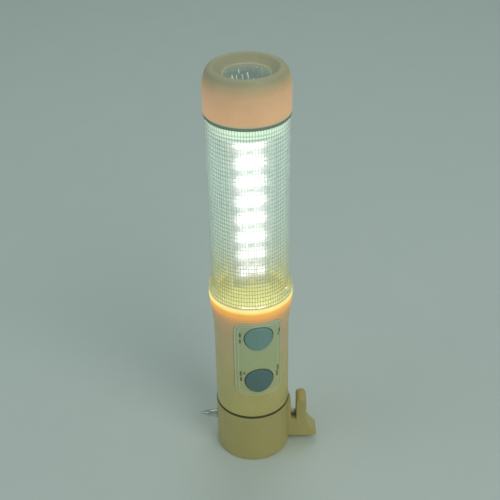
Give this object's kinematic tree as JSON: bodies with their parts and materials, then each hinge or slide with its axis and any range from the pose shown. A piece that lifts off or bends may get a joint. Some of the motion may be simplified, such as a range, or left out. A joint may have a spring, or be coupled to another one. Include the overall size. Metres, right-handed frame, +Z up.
{
  "type": "led safety flare",
  "caption": "Upright hand lamp with torch head, clear ribbed warning-light tube, flared handle with push buttons, and screw-on base cap with glass hammer, belt cutter and magnet.",
  "frame": {"origin": "centre of the flat face that the lamp rests on, under the base cap", "axes": "+Z up along the lamp, from base cap to torch head; the glass hammer points to -X and the belt cutter to +X; the push buttons face -Y, turned 11 degrees towards +X"},
  "size_m": [0.065, 0.0434, 0.225],
  "materials": {
    "shell_plastic": "satin moulded, slightly translucent",
    "head_plastic": "satin moulded, translucent",
    "panel_plastic": "fine satin",
    "button_rubber": "soft matte",
    "seal_rubber": "matte",
    "clear_plastic": "clear, smooth outside and ribbed inside",
    "lens_plastic": "clear, polished",
    "reflector_chrome": "bright vacuum metal",
    "tool_steel": "ground",
    "plated_steel": "nickel plated",
    "magnet": "nickel plated",
    "contact_brass": "bright",
    "foam": "closed-cell foam",
    "dark_plastic": "matte",
    "white_plastic": "satin",
    "circuit_board": "solder mask",
    "white_board": "white solder mask",
    "lamp_lens": "lit lamp face",
    "torch_lamp": "clear dome",
    "cell_jacket": "printed foil jacket, no lettering",
    "red_wire": "insulation",
    "black_wire": "insulation"
  },
  "bodies": {
    "handle": {"handle_shell": "shell_plastic", "switch_panel": "panel_plastic", "switch_bodies": "plated_steel", "switch_board": "circuit_board", "switch_board_screws": "plated_steel", "driver_chip": "dark_plastic", "driver_capacitor": "dark_plastic", "battery_cartridge": "dark_plastic", "battery_cell_1": "cell_jacket", "battery_cell_2": "cell_jacket", "battery_cell_3": "cell_jacket", "cell_springs": "plated_steel", "cell_contacts": "contact_brass", "cartridge_terminals": "contact_brass", "chamber_bulkhead": "white_plastic", "contact_springs": "plated_steel", "battery_leads": "red_wire", "lower_bulkhead": "white_plastic", "light_tube": "clear_plastic", "led_board": "white_board", "led_lamps": "lamp_lens", "led_resistors": "dark_plastic", "board_spine": "white_plastic", "spine_screws": "plated_steel", "upper_bulkhead": "white_plastic", "torch_leads": "black_wire", "head_seal_ring": "seal_rubber", "head_shell": "head_plastic", "reflector": "reflector_chrome", "lens_seal": "seal_rubber", "torch_lens": "lens_plastic", "torch_board": "circuit_board", "torch_led": "torch_lamp"},
    "cap_seal": {"cap_seal_ring": "seal_rubber"},
    "base_cap": {"base_cap": "shell_plastic", "hammer_tip": "tool_steel", "cutter_blade": "tool_steel", "magnet_cup": "plated_steel", "base_magnet": "magnet", "cap_pad": "foam"},
    "button_upper": {"button_upper": "button_rubber", "switch_stem_upper": "dark_plastic"},
    "button_lower": {"button_lower": "button_rubber", "switch_stem_lower": "dark_plastic"}
  },
  "joints": [
    {"name": "cap_travel", "type": "slide", "parent": "handle", "child": "cap_seal", "axis": [0, 0, -1], "range_m": [0, 0.0088]},
    {"name": "cap_unscrew", "type": "hinge", "parent": "cap_seal", "child": "base_cap", "pos_m": [0, 0, 0], "axis": [0, 0, -1], "range_deg": [0, 1260]},
    {"name": "button_upper_press", "type": "slide", "parent": "handle", "child": "button_upper", "axis": [-0.1908, 0.9816, 0], "range_m": [0, 0.0008], "stiffness_N_per_m": 1500, "springref_m": -0.0004},
    {"name": "button_lower_press", "type": "slide", "parent": "handle", "child": "button_lower", "axis": [-0.1908, 0.9816, 0], "range_m": [0, 0.0008], "stiffness_N_per_m": 1500, "springref_m": -0.0004}
  ],
  "couplings": [
    {"joint": "cap_travel", "follows": "cap_unscrew", "m_per_rad": 0.00039789}
  ]
}
